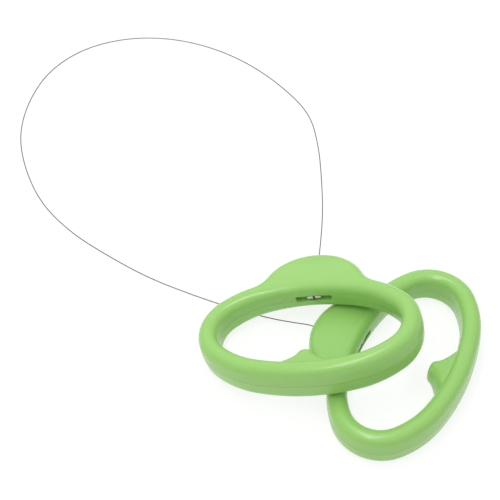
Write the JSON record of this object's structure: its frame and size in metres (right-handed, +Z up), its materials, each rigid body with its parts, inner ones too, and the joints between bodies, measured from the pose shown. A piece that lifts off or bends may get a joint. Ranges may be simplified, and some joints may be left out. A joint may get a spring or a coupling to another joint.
{
  "type": "clay cutter",
  "caption": "Wire clay cutter: hollow moulded ring handles with a finger rest and a slotted lobe, joined by a thin steel cutting wire.",
  "frame": {"origin": "bottom centre of the box round both handles, on the bench; the free wire is left out", "axes": "+Z up; +Y away from the viewer, towards the wire's loop; +X to the viewer's right"},
  "size_m": [0.2213, 0.2599, 0.0392],
  "materials": {
    "handle_plastic": "glossy light green, moulded",
    "wire_steel": "bright drawn wire",
    "end_bar_steel": "bright tube"
  },
  "bodies": {
    "handle_b": {"handle_b_upper_shell": "handle_plastic", "handle_b_lower_shell": "handle_plastic", "cutting_wire": "wire_steel"},
    "handle_a": {"handle_a_upper_shell": "handle_plastic", "handle_a_lower_shell": "handle_plastic"},
    "wire_end_a": {"wire_lead_a": "wire_steel"},
    "end_bar_a": {"end_bar_a": "end_bar_steel", "wire_wrap_a": "wire_steel"},
    "wire_end_b": {"wire_lead_b": "wire_steel"},
    "end_bar_b": {"end_bar_b": "end_bar_steel", "wire_wrap_b": "wire_steel"}
  },
  "joints": [
    {"name": "handle_a_lift", "type": "hinge", "parent": "handle_b", "child": "handle_a", "pos_m": [-0.00876, 0.04767, 0.01574], "axis": [-0.995, 0.1002, 0], "range_deg": [0, 40]},
    {"name": "wire_end_a_push", "type": "slide", "parent": "handle_a", "child": "wire_end_a", "axis": [-0.1218, -0.9886, 0.0888], "range_m": [0, 0.002]},
    {"name": "end_bar_a_turn", "type": "hinge", "parent": "wire_end_a", "child": "end_bar_a", "pos_m": [-0.0114, 0.02622, 0.01767], "axis": [0.1218, 0.9886, -0.0888], "range_deg": [-10, 10]},
    {"name": "wire_end_b_push", "type": "slide", "parent": "handle_b", "child": "wire_end_b", "axis": [0.8932, -0.4473, 0.0449], "range_m": [0, 0.002]},
    {"name": "end_bar_b_turn", "type": "hinge", "parent": "wire_end_b", "child": "end_bar_b", "pos_m": [0.00887, 0.00773, 0.00723], "axis": [-0.8932, 0.4473, -0.0449], "range_deg": [-10, 10]}
  ]
}
